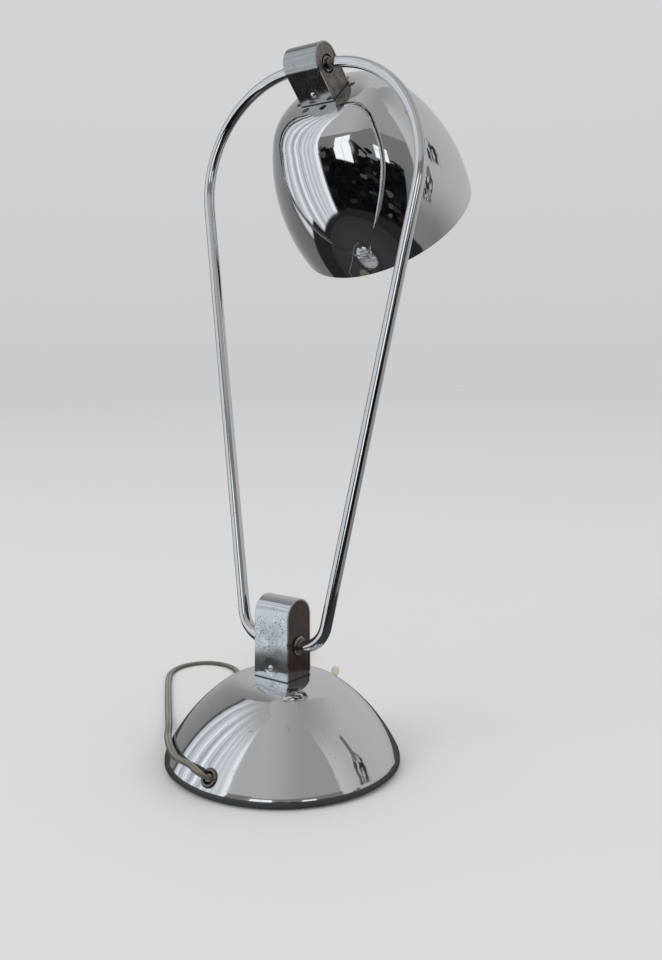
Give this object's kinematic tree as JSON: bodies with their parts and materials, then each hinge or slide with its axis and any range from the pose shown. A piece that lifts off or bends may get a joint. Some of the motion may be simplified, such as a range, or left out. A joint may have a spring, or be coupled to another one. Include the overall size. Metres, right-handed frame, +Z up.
{
  "type": "desk lamp",
  "caption": "Swing-arm desk lamp: domed weighted base, pear-shaped tube loop hinged in strapped blocks, tilting bell shade, toggle switch, and a flat twin flex with a plug.",
  "frame": {"origin": "middle of the underside of the round base, on the table", "axes": "+Z up; +X along both hinge axes; +Y the side the shade points to, so the cord leaves at -Y"},
  "size_m": [0.3006, 0.3013, 0.4948],
  "materials": {
    "chrome_cover": "bright plated, lightly worn",
    "chrome_shade": "bright plated, lightly worn",
    "chrome_tube": "bright plated tube",
    "chrome_strap": "bright plated, fine pitting and haze",
    "chrome_fixing": "bright plated small parts",
    "block_brown": "dark brown moulding, satin",
    "felt_green_grey": "pressed felt",
    "plate_steel": "plain sheet",
    "fixing_steel": "zinc plated",
    "weight_iron": "as cast, black",
    "moulding_black": "moulded",
    "lever_cream": "aged cream moulding",
    "flex_clear": "clear sheath over tinned strands",
    "lead_sheath": "sleeved wires",
    "socket_brass": "plain brass",
    "bulb_metal": "screw cap",
    "bulb_opal": "opal envelope",
    "plug_brown": "moulded",
    "pin_metal": "nickelled pins"
  },
  "bodies": {
    "base": {"base_felt": "felt_green_grey", "base_plate": "plate_steel", "base_plate_screws": "fixing_steel", "base_weight": "weight_iron", "base_dome": "chrome_cover", "tie_tube": "fixing_steel", "tie_washer": "fixing_steel", "tie_nut": "fixing_steel", "lower_block": "block_brown", "lower_strap": "chrome_strap", "lower_strap_screws": "chrome_fixing", "lower_ferrules": "chrome_fixing", "switch_body": "moulding_black", "switch_bush": "chrome_fixing", "switch_nut": "chrome_fixing", "switch_lead": "lead_sheath", "cord_eyelet": "chrome_fixing", "base_lead": "flex_clear", "cord_clamp": "moulding_black", "cord_clamp_screws": "fixing_steel", "cord": "flex_clear", "cord_coil": "flex_clear", "cord_tail": "flex_clear", "plug_body": "plug_brown", "plug_pins": "pin_metal"},
    "arm": {"loop_tube": "chrome_tube", "arm_lead": "flex_clear"},
    "head": {"upper_block": "block_brown", "upper_strap": "chrome_strap", "upper_strap_screws": "chrome_fixing", "upper_ferrules": "chrome_fixing", "shade_nipple": "fixing_steel", "shade_washer": "fixing_steel", "shade_nut": "fixing_steel", "shade": "chrome_shade", "head_lead": "flex_clear", "lampholder_cap": "moulding_black", "lampholder_body": "moulding_black", "lampholder_shell": "socket_brass", "lampholder_contact": "socket_brass", "bulb_cap": "bulb_metal", "bulb_glass": "bulb_opal"},
    "lever": {"switch_lever": "lever_cream"}
  },
  "joints": [
    {"name": "arm_tilt", "type": "hinge", "parent": "base", "child": "arm", "pos_m": [0, 0, 0.0805], "axis": [1, 0, 0], "range_deg": [-50, 60]},
    {"name": "shade_tilt", "type": "hinge", "parent": "arm", "child": "head", "pos_m": [0, 0.03283, 0.47978], "axis": [1, 0, 0], "range_deg": [-80, 60]},
    {"name": "switch_toggle", "type": "hinge", "parent": "base", "child": "lever", "pos_m": [0, 0.05635, 0.0398], "axis": [1, 0, 0], "range_deg": [-24, 0]}
  ]
}
